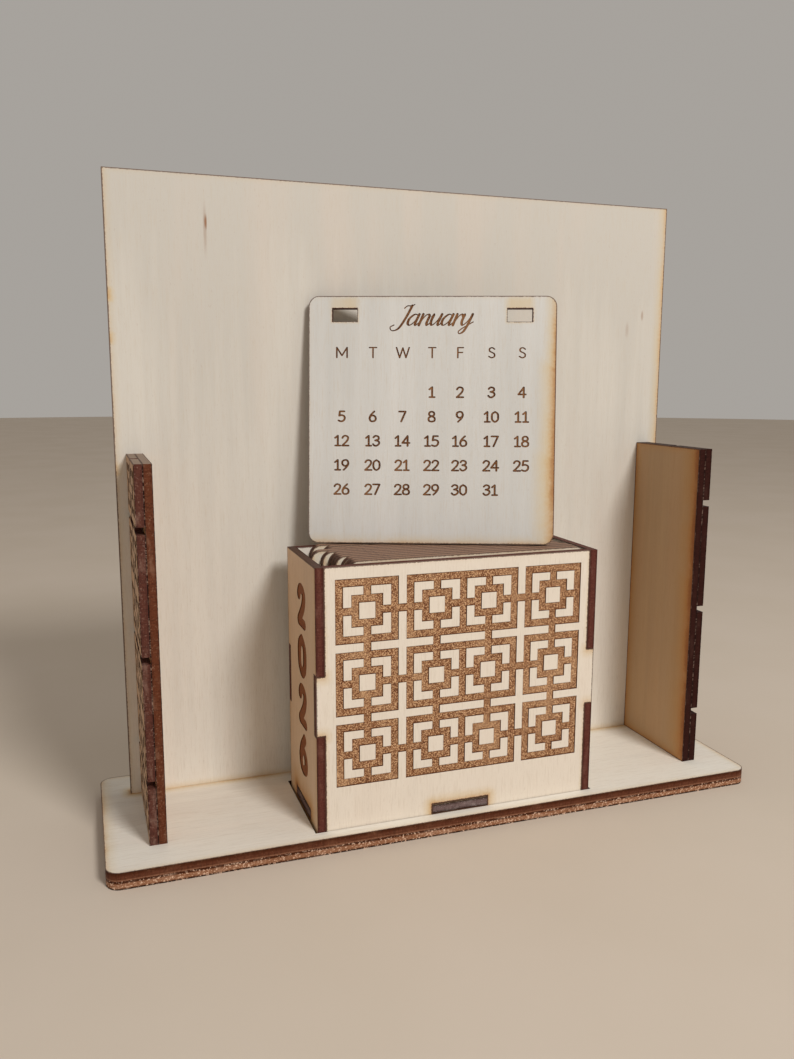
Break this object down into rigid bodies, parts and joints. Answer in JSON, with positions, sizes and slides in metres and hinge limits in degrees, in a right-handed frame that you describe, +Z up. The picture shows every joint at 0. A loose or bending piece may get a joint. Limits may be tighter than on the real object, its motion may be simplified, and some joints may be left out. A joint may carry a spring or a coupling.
{
  "type": "desk calendar with card box",
  "caption": "Plywood desk calendar: base with tall back panel and fretwork side pillars, a lift-out box of month cards, and one card standing across the others.",
  "frame": {"origin": "centre of the base's underside, on the surface that the calendar stands on", "axes": "+Z up; -Y towards the reader, the way the back panel and the box front face; +X to the reader's right"},
  "size_m": [0.254, 0.0764, 0.238],
  "materials": {
    "birch_ply": "laser-cut plywood, pale faces and scorched dark brown edges"
  },
  "bodies": {
    "stand": {"base_bottom_plate": "birch_ply", "base_top_plate": "birch_ply", "back_panel": "birch_ply", "left_pillar_inner_panel": "birch_ply", "left_pillar_fretwork": "birch_ply", "right_pillar_inner_panel": "birch_ply", "right_pillar_fretwork": "birch_ply"},
    "card_box": {"box_front_wall": "birch_ply", "box_back_wall": "birch_ply", "box_left_wall": "birch_ply", "box_right_wall": "birch_ply", "box_bottom": "birch_ply"},
    "february_card": {"card_february": "birch_ply"},
    "card_deck": {"card_march": "birch_ply", "card_april": "birch_ply", "card_may": "birch_ply", "card_june": "birch_ply", "card_july": "birch_ply", "card_august": "birch_ply", "card_september": "birch_ply", "card_october": "birch_ply", "card_november": "birch_ply", "card_december": "birch_ply"},
    "january_card": {"card_january": "birch_ply"}
  },
  "joints": [
    {"name": "box_lift", "type": "slide", "parent": "stand", "child": "card_box", "axis": [0, 0, 1], "range_m": [0, 0.14]},
    {"name": "february_lift", "type": "slide", "parent": "card_box", "child": "february_card", "axis": [0, 0, 1], "range_m": [0, 0.1]},
    {"name": "deck_lift", "type": "slide", "parent": "card_box", "child": "card_deck", "axis": [0, 0, 1], "range_m": [0, 0.1]},
    {"name": "january_lift", "type": "slide", "parent": "card_deck", "child": "january_card", "axis": [0, 0, 1], "range_m": [0, 0.1]}
  ]
}
